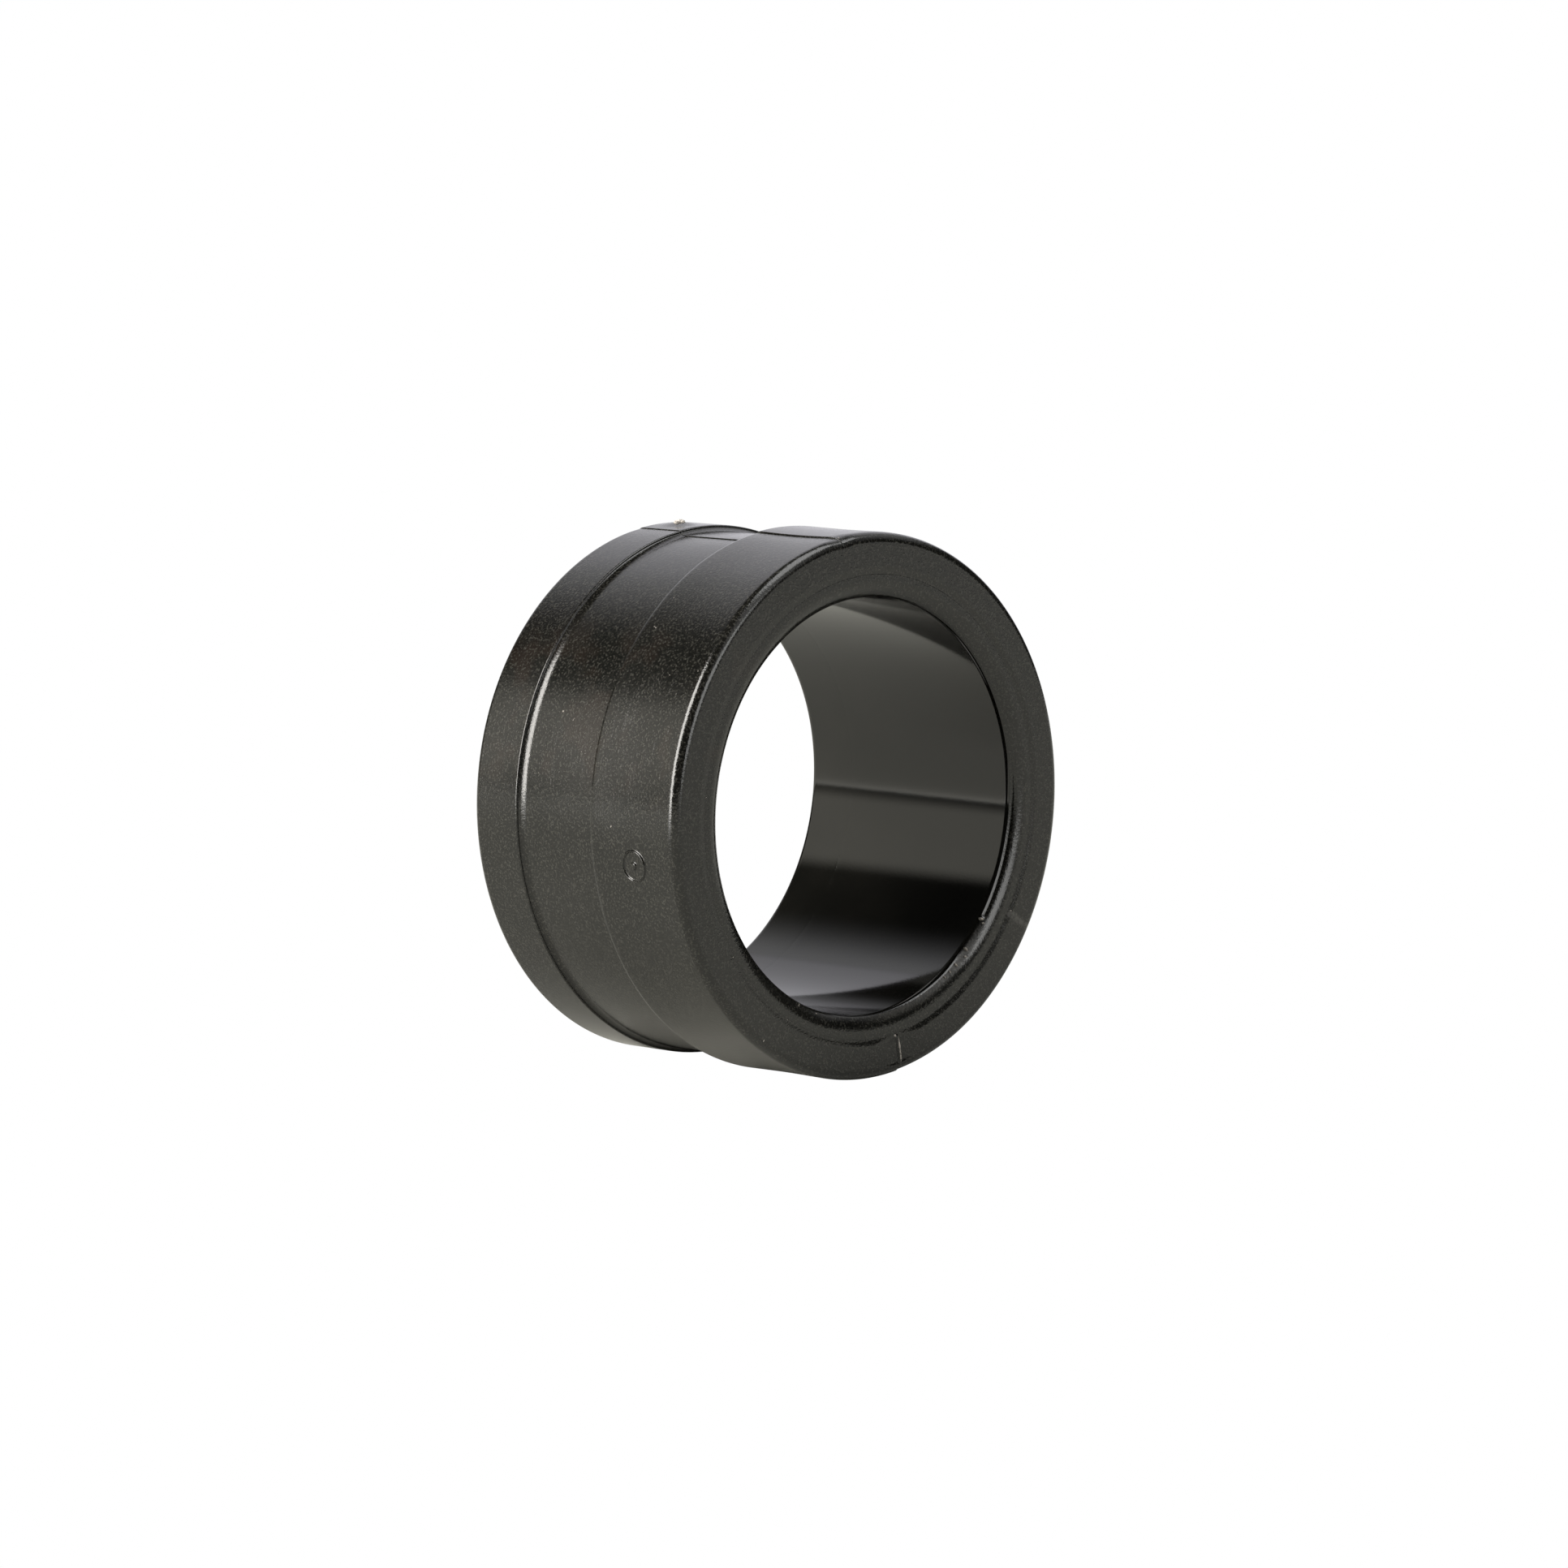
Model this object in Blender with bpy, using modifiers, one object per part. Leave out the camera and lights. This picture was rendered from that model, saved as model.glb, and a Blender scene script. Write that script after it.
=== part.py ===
"""Fence insulator: a short round bush of moulded plastic.

Two half shells close round an inner sleeve. Together the shells make the outer collar, which has
a wide front band, a shallow groove, a back flange and, inside, a lip that the sleeve butts
against. The ring's axis is Y, its front end face looks along -Y, and the origin is its centre.
"""

from math import cos, pi, radians, sin

import bmesh
import bpy

# Driving dimensions, in metres. Depths run along the axis from the front end face.
LENGTH = 0.01978
BAND_RADIUS = 0.0185
WAIST_RADIUS = 0.01785
FLANGE_RADIUS = 0.01819
BORE_RADIUS = 0.01417
SEAM_RADIUS = 0.01586
BAND_END = 0.00808
FLANGE_START = 0.01553
LIP_START = 0.01573

BAND_HOLLOW = 0.00012
FRONT_ROUNDING = 0.00055
BACK_ROUNDING = 0.00052
BAND_END_ROUNDING = 0.00015
STEP_FILLET = 0.0003
BORE_MOUTH_ROUNDING = 0.00063

PARTING_ANGLE = 98.8
GAP = 0.0003

GATE_ANGLE = 92.5
GATE_DEPTH = 0.01767
GATE_RADIUS = 0.0005
GATE_HEIGHT = 0.00038
GATE_ROOT = 0.0005

STEPS_ROUND = 80
STEPS_ARC = 3
STEPS_BAND = 4
CUTTER_SIZE = 0.06

BLACK = (0.022, 0.022, 0.021, 1.0)


def clear_scene():
    for obj in list(bpy.data.objects):
        bpy.data.objects.remove(obj, do_unlink=True)


def new_collection(name):
    collection = bpy.data.collections.new(name)
    bpy.context.scene.collection.children.link(collection)
    return collection


def plastic(name, roughness):
    material = bpy.data.materials.new(name)
    material.use_nodes = True
    shader = material.node_tree.nodes["Principled BSDF"]
    shader.inputs["Base Color"].default_value = BLACK
    shader.inputs["Roughness"].default_value = roughness
    shader.inputs["Metallic"].default_value = 0.0
    return material


def arc(radius, depth, size, start, end):
    """Points on a quarter round of this centre, angles from the outward radius towards the back."""
    return [
        (
            radius + size * cos(radians(start + (end - start) * i / STEPS_ARC)),
            depth + size * sin(radians(start + (end - start) * i / STEPS_ARC)),
        )
        for i in range(STEPS_ARC + 1)
    ]


def band_points():
    """The band's surface, which sinks a little between its two rims."""
    first = FRONT_ROUNDING
    last = BAND_END - BAND_END_ROUNDING
    points = []
    for i in range(1, STEPS_BAND):
        t = i / STEPS_BAND
        sink = 4 * t * (1 - t) * BAND_HOLLOW
        points.append((BAND_RADIUS - sink, first + t * (last - first)))
    return points


def collar_profile():
    """(radius, depth) round the collar's section, from the front face out and back to the seam."""
    inner = SEAM_RADIUS + GAP / 2
    points = [(inner, 0.0)]
    points += arc(BAND_RADIUS - FRONT_ROUNDING, FRONT_ROUNDING, FRONT_ROUNDING, -90, 0)
    points += band_points()
    points += arc(
        BAND_RADIUS - BAND_END_ROUNDING, BAND_END - BAND_END_ROUNDING, BAND_END_ROUNDING, 0, 90
    )
    points.append((WAIST_RADIUS, BAND_END))
    points += reversed(
        arc(WAIST_RADIUS + STEP_FILLET, FLANGE_START - STEP_FILLET, STEP_FILLET, 90, 180)
    )
    points.append((FLANGE_RADIUS, FLANGE_START))
    points += arc(FLANGE_RADIUS - BACK_ROUNDING, LENGTH - BACK_ROUNDING, BACK_ROUNDING, 0, 90)
    points += arc(BORE_RADIUS + BACK_ROUNDING, LENGTH - BACK_ROUNDING, BACK_ROUNDING, 90, 180)
    lip = LIP_START + GAP / 2
    points += [(BORE_RADIUS, lip), (inner, lip)]
    return points


def sleeve_profile():
    """(radius, depth) round the sleeve's section, starting at its outer front corner."""
    outer = SEAM_RADIUS - GAP / 2
    back = LIP_START - GAP / 2
    mouth = arc(
        BORE_RADIUS + BORE_MOUTH_ROUNDING, BORE_MOUTH_ROUNDING, BORE_MOUTH_ROUNDING, 180, 270
    )
    return [(outer, 0.0), (outer, back), (BORE_RADIUS, back)] + mouth


def turned(name, profile, collection, material):
    """A closed ring about Y: the section stands in the XY plane and a Screw turns it."""
    mesh = bpy.data.meshes.new(name)
    section = bmesh.new()
    corners = [
        section.verts.new((radius, depth - LENGTH / 2, 0.0)) for radius, depth in reversed(profile)
    ]
    for i, corner in enumerate(corners):
        section.edges.new((corner, corners[(i + 1) % len(corners)]))
    section.to_mesh(mesh)
    section.free()
    obj = bpy.data.objects.new(name, mesh)
    collection.objects.link(obj)
    mesh.materials.append(material)
    screw = obj.modifiers.new("turn", "SCREW")
    screw.axis = "Y"
    screw.angle = 2 * pi
    screw.steps = STEPS_ROUND
    screw.render_steps = STEPS_ROUND
    screw.use_merge_vertices = True
    screw.merge_threshold = 0.00001
    screw.use_smooth_shade = True
    return obj


def half_space(name, side, collection):
    """A block that covers everything on one side of the parting plane, less half of the gap."""
    bpy.ops.mesh.primitive_cube_add(size=CUTTER_SIZE)
    block = bpy.context.object
    block.name = name
    for owner in list(block.users_collection):
        owner.objects.unlink(block)
    collection.objects.link(block)
    angle = radians(PARTING_ANGLE - 90)
    offset = side * (CUTTER_SIZE / 2 - GAP / 2)
    block.rotation_euler = (0, -angle, 0)
    block.location = (offset * cos(angle), 0, offset * sin(angle))
    block.display_type = "WIRE"
    block.hide_render = True
    return block


def gate_stub(collection):
    """The short round stub left on the flange where the plastic was fed in."""
    bpy.ops.mesh.primitive_cone_add(
        vertices=16,
        radius1=GATE_RADIUS * 1.5,
        radius2=GATE_RADIUS,
        depth=GATE_HEIGHT + GATE_ROOT,
    )
    stub = bpy.context.object
    stub.name = "gate_stub"
    for owner in list(stub.users_collection):
        owner.objects.unlink(stub)
    collection.objects.link(stub)
    angle = radians(GATE_ANGLE)
    middle = FLANGE_RADIUS + (GATE_HEIGHT - GATE_ROOT) / 2
    stub.location = (middle * cos(angle), GATE_DEPTH - LENGTH / 2, middle * sin(angle))
    stub.rotation_euler = (0, radians(90) - angle, 0)
    stub.display_type = "WIRE"
    stub.hide_render = True
    return stub


def boolean(obj, other, operation):
    modifier = obj.modifiers.new(other.name, "BOOLEAN")
    modifier.operation = operation
    modifier.solver = "EXACT"
    modifier.object = other


def build():
    clear_scene()
    parts = new_collection("fence_insulator")
    cutters = new_collection("cutters")
    matt = plastic("matt_plastic", 0.48)
    gloss = plastic("gloss_plastic", 0.12)

    turned("bore_sleeve", sleeve_profile(), parts, gloss)
    left = turned("collar_shell_left", collar_profile(), parts, matt)
    right = turned("collar_shell_right", collar_profile(), parts, matt.copy())
    boolean(left, half_space("right_of_parting", 1, cutters), "DIFFERENCE")
    boolean(right, half_space("left_of_parting", -1, cutters), "DIFFERENCE")
    boolean(right, gate_stub(cutters), "UNION")


build()
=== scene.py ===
import math

import bpy
import numpy as np
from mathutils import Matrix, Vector


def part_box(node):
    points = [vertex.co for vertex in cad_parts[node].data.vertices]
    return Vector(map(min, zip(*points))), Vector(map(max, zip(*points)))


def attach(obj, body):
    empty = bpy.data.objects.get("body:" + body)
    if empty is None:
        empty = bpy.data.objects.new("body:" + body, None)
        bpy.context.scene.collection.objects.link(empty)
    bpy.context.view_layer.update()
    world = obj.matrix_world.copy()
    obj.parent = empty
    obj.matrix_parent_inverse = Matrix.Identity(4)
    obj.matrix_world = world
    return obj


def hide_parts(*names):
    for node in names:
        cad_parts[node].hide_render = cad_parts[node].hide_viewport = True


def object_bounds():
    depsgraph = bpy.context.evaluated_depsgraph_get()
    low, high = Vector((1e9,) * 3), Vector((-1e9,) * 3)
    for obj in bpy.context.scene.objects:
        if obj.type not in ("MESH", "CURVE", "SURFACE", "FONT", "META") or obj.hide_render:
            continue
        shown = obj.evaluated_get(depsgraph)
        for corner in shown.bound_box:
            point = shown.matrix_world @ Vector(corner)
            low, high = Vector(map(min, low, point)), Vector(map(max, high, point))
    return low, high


# The looks of a moulded black fence insulator: a glossy bore sleeve inside two matt collar
# shells. Angles are in degrees about the bore axis (+Y), from +X towards +Z. Depths are
# measured from the front face. Both, and every radius, are in millimetres until a mesh is made.

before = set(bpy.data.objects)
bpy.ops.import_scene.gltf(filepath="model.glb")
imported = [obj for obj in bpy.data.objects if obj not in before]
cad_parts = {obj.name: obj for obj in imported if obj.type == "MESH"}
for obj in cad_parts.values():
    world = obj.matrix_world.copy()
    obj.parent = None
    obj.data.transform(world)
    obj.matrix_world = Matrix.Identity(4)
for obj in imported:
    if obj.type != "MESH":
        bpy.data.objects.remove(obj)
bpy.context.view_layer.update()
MM = 0.001

# ---- Main sizes, from the frame where it holds them ---------------------------------------
shell_low, shell_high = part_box("collar_shell_left")
sleeve_low, sleeve_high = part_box("bore_sleeve")
FRONT = shell_low.y / MM
LENGTH = (shell_high.y - shell_low.y) / MM
BAND_RADIUS = -shell_low.x / MM
SLEEVE_LENGTH = 15.73
BORE_RADIUS = 14.17
SEAM_RADIUS = sleeve_high.x / MM + 0.02

# ---- Outline of the collar ---------------------------------------------------------------
WAIST_RADIUS = 17.85
FLANGE_RADIUS = 18.19
BAND_END = 8.08
FLANGE_START = 15.53
BAND_HOLLOW = 0.04
FRONT_ROUNDING = 0.65
BACK_ROUNDING = 0.52
KNEE_ROUNDING = 1.0
KNEE_TILT = 16.0
STEP_FILLET = 1.15
STEP_FILLET_TILT = 30.0
STEP_CORNER = 0.12
FLANGE_ROUNDING = 0.11
BORE_BACK_ROUNDING = 0.50
MOUTH_DEPTH = 0.63
MOUTH_TILT = 50.0
MOUTH_SHARE_BELOW = 0.6
RING_RECESS = 0.08
RING_RECESS_LEFT = 0.04
SHALLOW_START = 75.0
SHALLOW_END = 278.0
BELOW_START = 246.0
BELOW_END = 314.0
RING_EDGE_ROUNDING = 0.008
SEAM_STEP_WIDTH = 0.55
CORNER_SUPPORT = 0.004
LEDGE_WIDTH = 0.20
LEDGE_DROP = 0.065
LEDGE_START = -37.0
LEDGE_END = 14.0
LEDGE_RISER = 0.09
BORE_STEP = 0.0015
BORE_STEP_RUN = 0.12
KNEE_FOOT = 0.12
HIDDEN_CLEARANCE = 0.0015
DEEP_CLEARANCE = 0.01
KNEE_START = BAND_END - KNEE_ROUNDING * math.sin(math.radians(KNEE_TILT))

# ---- The two shells' joint ---------------------------------------------------------------
PARTING_ANGLE = 98.8
JOINT_WANDER = 0.35
JOINT_EDGE_LEFT = 0.07
JOINT_EDGE_RIGHT = 0.025
JOINT_EDGE_ON_FACE = 0.012
MISMATCH_GROOVE = 0.10
MISMATCH_TOP = 0.07
MISMATCH_FLANGE = 0.03
LEFT_DROP = 0.02
MISMATCH_BOTTOM = 0.07
MISMATCH_SPREAD = 28.0
RIM_NOTCH = 0.08
RIM_NOTCH_SPREAD = 4.5
RIB_HEIGHT = 0.09
RIB_WIDTH = 0.13
RIB_DIP_SPREAD = 9.0
RIB_FROM_SEAM = 0.1
RIB_FROM_RIM = 0.3

# ---- Marks on the surface ----------------------------------------------------------------
MARK_ANGLE = 188.6
MARK_DEPTH = 4.12
MARK_RADIUS = 1.02
MARK_STROKE = 0.11
MARK_HEIGHT = 0.12
MARK_DOT = 0.30
MARK_REACH = 1.6
GATE_ANGLE = 92.5
GATE_DEPTH = 17.67
GATE_REACH = 1.2
GATE_MOUND = 0.17
GATE_MOUND_SIZE = 1.5
GATE_MOUND_SQUASH = 0.9
GATE_STUB_SUNK = 0.03


def line(start, end, count):
    """Points from start up to, but not including, end."""
    steps = np.linspace(0.0, 1.0, count, endpoint=False)[:, None]
    return np.array(start) + steps * (np.array(end) - np.array(start))


def arc(centre, radius, first, last, count):
    """Points on an arc from angle first to angle last, both included, in the (radius, depth) plane."""
    turn = np.radians(np.linspace(first, last, count))
    return np.stack([centre[0] + radius * np.cos(turn), centre[1] + radius * np.sin(turn)], axis=1)


def band_radius(depth):
    """The band is a little hollow between its two edges."""
    share = (depth - FRONT_ROUNDING) / (KNEE_START - FRONT_ROUNDING)
    return BAND_RADIUS - BAND_HOLLOW * np.sin(np.pi * np.clip(share, 0, 1)) ** 1.2


def band_outline():
    """The band's points, closest together where the mould mark stands."""
    start, end = FRONT_ROUNDING, KNEE_START
    mark_start, mark_end = MARK_DEPTH - MARK_REACH, MARK_DEPTH + MARK_REACH
    depths = np.concatenate([
        np.linspace(start, mark_start, 14, endpoint=False)[1:],
        np.linspace(mark_start, mark_end, 110, endpoint=False),
        np.linspace(mark_end, end, 16, endpoint=False),
    ])
    return np.stack([band_radius(depths), depths], axis=1)


def flange_outline():
    """The flange's points, closest together round the gate mark."""
    start, end = FLANGE_START + FLANGE_ROUNDING, LENGTH - BACK_ROUNDING
    depths = np.concatenate([
        np.linspace(start, GATE_DEPTH - GATE_REACH, 8, endpoint=False)[1:],
        np.linspace(GATE_DEPTH - GATE_REACH, end, 42, endpoint=False),
    ])
    return np.stack([np.full(len(depths), FLANGE_RADIUS), depths], axis=1)


def step_outline():
    """From the groove floor up to the flange: a wide hollow fillet, a short steep face and a crisp edge."""
    tilt = STEP_FILLET_TILT
    wide = STEP_FILLET * math.sin(math.radians(tilt))
    rise = STEP_FILLET * (1 - math.cos(math.radians(tilt)))
    start = FLANGE_START - wide - 0.05
    fillet = arc((WAIST_RADIUS + STEP_FILLET, start), STEP_FILLET, 180, 180 - tilt, 16)
    corner_centre = (
        WAIST_RADIUS + rise + STEP_CORNER * math.cos(math.radians(tilt)),
        start + wide - STEP_CORNER * math.sin(math.radians(tilt)),
    )
    corner = arc(corner_centre, STEP_CORNER, 180 - tilt, 105, 7)
    lip = arc((FLANGE_RADIUS - FLANGE_ROUNDING, FLANGE_START + FLANGE_ROUNDING), FLANGE_ROUNDING, -80, 0, 7)
    floor = line((WAIST_RADIUS, BAND_END + 0.3), (WAIST_RADIUS, start), 40)
    return np.concatenate([floor, fillet, corner[1:], lip])


def collar_outline():
    """The closed outline of a collar shell as (radius, depth) points, from the seam outwards."""
    rim = FRONT_ROUNDING
    seam = SEAM_RADIUS + HIDDEN_CLEARANCE
    inner = SEAM_RADIUS + DEEP_CLEARANCE
    shoulder = SLEEVE_LENGTH + HIDDEN_CLEARANCE
    back = BORE_RADIUS + BORE_BACK_ROUNDING
    stepped = BORE_RADIUS + BORE_STEP
    return np.concatenate([
        seam_step(seam),
        line((seam + SEAM_STEP_WIDTH + 0.05, 0), (BAND_RADIUS - rim, 0), 24),
        arc((BAND_RADIUS - rim, rim), rim, -90, 0, 20),
        band_outline(),
        knee_outline(),
        arc((WAIST_RADIUS + KNEE_FOOT, BAND_END + KNEE_FOOT), KNEE_FOOT, -90, -180, 5),
        step_outline(),
        flange_outline(),
        arc((FLANGE_RADIUS - BACK_ROUNDING, LENGTH - BACK_ROUNDING), BACK_ROUNDING, 0, 90, 14),
        line((FLANGE_RADIUS - BACK_ROUNDING - 0.1, LENGTH), (back, LENGTH), 20),
        arc((back, LENGTH - BORE_BACK_ROUNDING), BORE_BACK_ROUNDING, 90, 180, 12),
        line((BORE_RADIUS, LENGTH - BORE_BACK_ROUNDING - 0.1), (BORE_RADIUS, shoulder + BORE_STEP_RUN), 20),
        line((BORE_RADIUS, shoulder + BORE_STEP_RUN), (stepped, shoulder + CORNER_SUPPORT), 3),
        [(stepped, shoulder + CORNER_SUPPORT)],
        line((stepped, shoulder), (inner, shoulder), 6),
        line((inner, shoulder), (inner, RING_RECESS + 0.2), 24),
        line((seam, RING_RECESS + 0.15), (seam, RING_RECESS + CORNER_SUPPORT), 5),
    ])


def knee_outline():
    """The band's far edge: it curves in gently and then drops square to the groove floor."""
    turn = np.radians(np.append(np.linspace(0, KNEE_TILT - 0.3, 12), KNEE_TILT))
    centre = BAND_RADIUS - KNEE_ROUNDING
    radius = centre + KNEE_ROUNDING * np.cos(turn)
    depth = KNEE_START + KNEE_ROUNDING * np.sin(turn)
    curve = np.stack([radius, depth], axis=1)
    edge = curve[-1, 0] - CORNER_SUPPORT
    return np.concatenate([curve, line((edge, BAND_END), (WAIST_RADIUS + KNEE_FOOT + 0.01, BAND_END), 4)])


def seam_step(seam):
    """The end face, easing back to the level of the ring at the seam."""
    share = np.concatenate([[0.0, 0.01], np.linspace(0.06, 1.0, 12)])
    return np.stack([seam + SEAM_STEP_WIDTH * share, RING_RECESS * (1.0 - smooth(share))], axis=1)


def mouth_outline(ledge):
    """The bore mouth, one wide rounding from the bore's edge out to the ring, with or without the ledge."""
    tilt = math.radians(MOUTH_TILT)
    size = (MOUTH_DEPTH - RING_RECESS) / (1.0 - math.cos(tilt))
    flat = BORE_RADIUS + size * math.sin(tilt)
    foot = BORE_RADIUS + LEDGE_WIDTH
    radius = np.concatenate([
        np.linspace(BORE_RADIUS, foot, 6, endpoint=False),
        np.linspace(foot, foot + LEDGE_RISER, 6, endpoint=False),
        np.linspace(foot + LEDGE_RISER, flat, 18),
    ])
    depth = RING_RECESS + size - np.sqrt(size * size - (flat - radius) ** 2)
    if ledge:
        polished = MOUTH_DEPTH - LEDGE_DROP * (radius - BORE_RADIUS) / LEDGE_WIDTH
        riser = smooth((radius - foot) / LEDGE_RISER)
        depth = polished * (1.0 - riser) + depth * riser
    return np.stack([radius, depth], axis=1)


def sleeve_outline(ledge):
    """The closed outline of the bore sleeve, from the bore mouth outwards along the ring round it."""
    end, edge = SLEEVE_LENGTH, RING_EDGE_ROUNDING
    stepped = BORE_RADIUS + BORE_STEP
    mouth = mouth_outline(ledge)
    return np.concatenate([
        mouth,
        line((mouth[-1, 0], RING_RECESS), (SEAM_RADIUS - edge, RING_RECESS), 10)[1:],
        arc((SEAM_RADIUS - edge, RING_RECESS + edge), edge, -90, 0, 5),
        line((SEAM_RADIUS, RING_RECESS + 0.1), (SEAM_RADIUS, end), 24),
        line((SEAM_RADIUS, end), (stepped, end), 6),
        [(stepped, end)],
        line((stepped, end - CORNER_SUPPORT), (BORE_RADIUS, end - BORE_STEP_RUN), 3),
        line((BORE_RADIUS, end - BORE_STEP_RUN), (BORE_RADIUS, MOUTH_DEPTH), 40),
    ])


def between(value, start, end, ease_in, ease_out):
    """1 between start and end, easing up from start over ease_in and down to end over ease_out."""
    return smooth((value - start) / ease_in) * smooth((end - value) / ease_out)


def recess_share(angles):
    """The ring's recess as a share of the deepest: it is shallower on the left of the circle."""
    left = between(angles % 360.0, SHALLOW_START, SHALLOW_END, 30.0, 24.0)
    return 1.0 - left * (1.0 - RING_RECESS_LEFT / RING_RECESS)


def ledge_share(angles):
    """Where the polished ledge shows: it stops short at a burr and fades out at its other end."""
    turn = (angles + 180.0) % 360.0 - 180.0
    return between(turn, LEDGE_START, LEDGE_END, 1.0, 16.0)


def columns(start, end, step, fine):
    """Angles from start to end, with a finer step inside each (centre, half width, step) of fine."""
    angles = list(np.arange(start, end, step)) + [end]
    for centre, half, small in fine:
        first, last = max(start, centre - half), min(end, centre + half)
        angles = [a for a in angles if not first < a < last]
        angles += list(np.linspace(first, last, int(math.ceil((last - first) / small)) + 1))
    return np.unique(np.round(angles, 5))


def outline_normals(outline):
    """Unit normals of a closed outline, pointing out of the solid."""
    ahead, behind = np.roll(outline, -1, axis=0), np.roll(outline, 1, axis=0)
    along = ahead - behind
    normals = np.stack([along[:, 1], -along[:, 0]], axis=1)
    return normals / np.linalg.norm(normals, axis=1, keepdims=True)


def smooth(value):
    """Eases 0 to 1 in and out, and holds outside that range."""
    value = np.clip(value, 0.0, 1.0)
    return value * value * (3.0 - 2.0 * value)


def bump(distance, width):
    """1 at distance 0, easing to 0 at width."""
    return smooth(1.0 - np.abs(distance) / width)


def turned_mesh(name, angles, radius, depth, closed):
    """A mesh from grids of radius and depth, one column an angle. A closed one runs the full turn."""
    turn = np.radians(angles)
    points = np.stack([radius * np.cos(turn), FRONT + depth, radius * np.sin(turn)], axis=-1) * MM
    rows, cols = radius.shape
    index = np.arange(rows * cols).reshape(rows, cols)
    right = np.roll(index, -1, axis=1) if closed else index[:, 1:]
    left = index if closed else index[:, :-1]
    below_left, below_right = np.roll(left, -1, axis=0), np.roll(right, -1, axis=0)
    quads = np.stack([left, right, below_right, below_left], axis=-1).reshape(-1, 4)
    faces = quads.tolist()
    if not closed:
        faces += [index[:, 0].tolist(), index[::-1, -1].tolist()]
    mesh = bpy.data.meshes.new(name)
    mesh.from_pydata(points.reshape(-1, 3).tolist(), [], faces)
    mesh.polygons.foreach_set("use_smooth", [len(face) == 4 for face in faces])
    mesh.validate()
    mesh.update()
    return mesh


def joint_angles(angles, depth, start, end):
    """Moves the columns near each joint sideways, so that the joint line wanders a little on the band."""
    wander = JOINT_WANDER * np.sin(np.pi * np.clip(depth / BAND_END, 0, 1)) - 0.5 * JOINT_WANDER
    wander = np.where(depth < BAND_END, wander, 0.0)
    near = bump(angles - start, 14.0) + bump(angles - end, 14.0)
    return angles + wander * near


def on_end_face(outline):
    """Whether each point of the outline lies on the flat end face."""
    return (outline[:, 1] < FRONT_ROUNDING * 0.3) & (outline[:, 0] < BAND_RADIUS - 0.5 * FRONT_ROUNDING)


def mark_relief(angles, outline):
    """A raised ring with a dot in its middle: a plain mould mark on the band."""
    across = np.radians(angles - MARK_ANGLE)[None, :] * BAND_RADIUS
    along = (outline[:, 1] - MARK_DEPTH)[:, None]
    distance = np.hypot(across, along)
    outside = (outline[:, 0] > WAIST_RADIUS)[:, None]
    ring = bump(distance - MARK_RADIUS, MARK_STROKE)
    dot = smooth((MARK_DOT - distance) / 0.12)
    return MARK_HEIGHT * np.maximum(ring, dot) * outside


def gate_relief(angles, outline):
    """The low mound that the torn-off gate stands on. The right shell's angles pass 360 there."""
    across = np.radians(angles - 360.0 - GATE_ANGLE)[None, :] * FLANGE_RADIUS
    along = (outline[:, 1] - GATE_DEPTH)[:, None]
    outside = (outline[:, 0] > WAIST_RADIUS)[:, None]
    distance = np.hypot(across, along * GATE_MOUND_SQUASH)
    return GATE_MOUND * bump(distance, GATE_MOUND_SIZE) * outside


def rib_fade(radius):
    """1 along the rib, easing to 0 at the seam and at the rim."""
    return between(radius, SEAM_RADIUS + RIB_FROM_SEAM, BAND_RADIUS - RIB_FROM_RIM, 0.5, 0.5)


def rib_dip(angles, radius):
    """The shallow dip in the end face round the lower joint, which keeps the rib level with the face."""
    return RIB_HEIGHT * bump(angles - PARTING_ANGLE - 180.0, RIB_DIP_SPREAD) * rib_fade(radius)


def rib_relief(angles, outline):
    """The fine raised flash line on the end face, beside the lower joint."""
    radius = outline[:, 0][:, None]
    across = np.radians(angles - PARTING_ANGLE - 180.0)[None, :] * radius - RIB_WIDTH
    rib = RIB_HEIGHT * bump(across, RIB_WIDTH) * rib_fade(radius)
    return (rib - rib_dip(angles[None, :], radius)) * on_end_face(outline)[:, None]


def rim_notch(from_joint, depth):
    """The small notch in the rim where the top joint meets it."""
    return RIM_NOTCH * bump(from_joint, RIM_NOTCH_SPREAD) * smooth((1.3 - depth) / 1.1)


def past_rim(depth):
    """0 at the end face, easing to 1 just behind the rim."""
    return smooth((depth - 0.2) / 0.8)


def mismatch(angles, depth):
    """How far the right shell sits below the left one. On the band and flange, on top, it sits above."""
    groove = smooth((depth - BAND_END) / 0.3) * smooth((FLANGE_START - depth) / 0.6)
    on_band = past_rim(depth) * smooth((BAND_END + 0.2 - depth) / 0.2)
    on_flange = smooth((depth - FLANGE_START) / 0.3)
    joint = angles - (PARTING_ANGLE + 360.0)
    near_top = bump(joint, MISMATCH_SPREAD + 20.0)
    sunk = MISMATCH_GROOVE * groove * (bump(joint + 20.0, 22.0) - 0.4 * bump(joint, 6.0))
    proud = (MISMATCH_TOP * on_band + MISMATCH_FLANGE * on_flange) * near_top
    bottom = MISMATCH_BOTTOM * bump(angles - (PARTING_ANGLE + 180.0), MISMATCH_SPREAD)
    return sunk - proud + bottom + rim_notch(joint, depth)


def left_drop(angles, depth):
    """How far the left shell falls away close to the top joint."""
    joint = angles - PARTING_ANGLE
    return LEFT_DROP * past_rim(depth) * bump(joint, 5.0) + rim_notch(joint, depth)


def rounded_ends(angles, outline, start, end, rounding):
    """How far each point draws in, to round the edges where a shell meets the other."""
    edge = np.where(on_end_face(outline), JOINT_EDGE_ON_FACE, rounding)[:, None]
    gap = np.minimum(angles - start, end - angles)[None, :]
    away = np.radians(gap) * outline[:, 0][:, None] / edge
    return edge * (1.0 - np.sqrt(np.clip(1.0 - (1.0 - np.clip(away, 0, 1)) ** 2, 0, 1)))


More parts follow.
